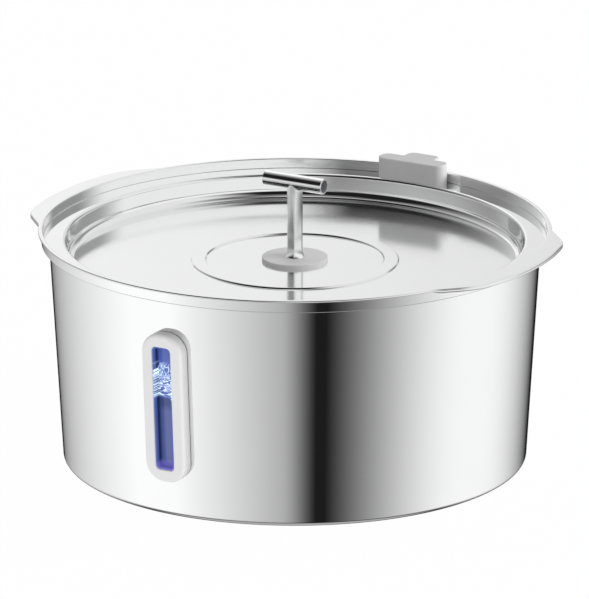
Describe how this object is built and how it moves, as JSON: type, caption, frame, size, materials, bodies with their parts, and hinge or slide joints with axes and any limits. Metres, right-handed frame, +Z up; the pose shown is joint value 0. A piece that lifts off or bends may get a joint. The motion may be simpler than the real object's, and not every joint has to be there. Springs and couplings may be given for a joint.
{
  "type": "pet water fountain",
  "caption": "Round steel pet water fountain: bowl with ears and a level window, drop-in drinking tray, T-shaped spout, cable clip and a submerged filter pump.",
  "frame": {"origin": "centre of the bowl's flat underside, on the surface that it stands on", "axes": "+Z up along the spout; -Y towards the level window; X along the two ears; the cable clip is at +Y"},
  "size_m": [0.2358, 0.2262, 0.1265],
  "materials": {
    "polished_steel": "mirror-polished stainless steel sheet and tube",
    "white_plastic": "smooth white moulded plastic",
    "grey_plastic": "satin light grey moulded plastic",
    "blue_lens": "clear polycarbonate, lit blue from inside",
    "grey_silicone": "soft food-grade silicone, light grey",
    "dark_rubber": "black moulded rubber",
    "clear_silicone": "milky translucent silicone",
    "box_plastic": "milky polypropylene",
    "pump_plastic": "black moulded plastic",
    "carbon": "granular activated carbon",
    "fleece": "white needled filter fleece",
    "foam": "open-cell filter foam",
    "ferrite": "sintered ferrite magnet",
    "ceramic": "ground alumina",
    "core_steel": "stacked electrical steel laminations",
    "copper_wire": "enamelled copper winding",
    "circuit_board": "green glass-epoxy board",
    "lamp_epoxy": "blue-tinted lamp epoxy",
    "potting_epoxy": "black potting resin",
    "screw_steel": "stainless steel screws"
  },
  "bodies": {
    "bowl": {"bowl": "polished_steel", "window_bezel": "white_plastic", "window_gasket": "dark_rubber", "window_lens": "blue_lens", "window_clamp": "white_plastic", "window_screws": "screw_steel", "suction_cups": "clear_silicone", "filter_box": "box_plastic", "foam_sleeve": "foam", "pump_body": "pump_plastic", "pump_cover": "pump_plastic", "cover_screws": "screw_steel", "rotor_shaft": "ceramic", "shaft_bushes": "dark_rubber", "stator_core": "core_steel", "stator_coil": "copper_wire", "driver_board": "circuit_board", "led_lamps": "lamp_epoxy", "potting_block": "potting_epoxy", "cord_gland": "dark_rubber", "riser_hose": "clear_silicone"},
    "tray": {"tray": "polished_steel"},
    "spout_seal": {"spout_seal": "grey_silicone"},
    "spout": {"spout_stem": "polished_steel", "spout_bar": "polished_steel"},
    "cable_clip": {"cable_clip": "grey_plastic"},
    "filter_cover": {"filter_box_lid": "box_plastic", "filter_cartridge": "white_plastic", "carbon_bed": "carbon", "filter_fleece": "fleece"},
    "impeller": {"impeller": "white_plastic", "rotor_magnet": "ferrite"}
  },
  "joints": [
    {"name": "tray_lift", "type": "slide", "parent": "bowl", "child": "tray", "axis": [0, 0, 1], "range_m": [0, 0.1]},
    {"name": "seal_pull", "type": "slide", "parent": "tray", "child": "spout_seal", "axis": [0, 0, 1], "range_m": [0, 0.04]},
    {"name": "spout_turn", "type": "hinge", "parent": "spout_seal", "child": "spout", "pos_m": [0, 0, 0.1231], "axis": [0, 0, 1], "continuous": true},
    {"name": "clip_pull", "type": "slide", "parent": "tray", "child": "cable_clip", "axis": [0, 0, 1], "range_m": [0, 0.03]},
    {"name": "filter_cover_lift", "type": "slide", "parent": "bowl", "child": "filter_cover", "axis": [0, 0, 1], "range_m": [0, 0.018]},
    {"name": "impeller_spin", "type": "hinge", "parent": "bowl", "child": "impeller", "pos_m": [0, 0, 0.029], "axis": [0, 1, 0], "continuous": true}
  ]
}
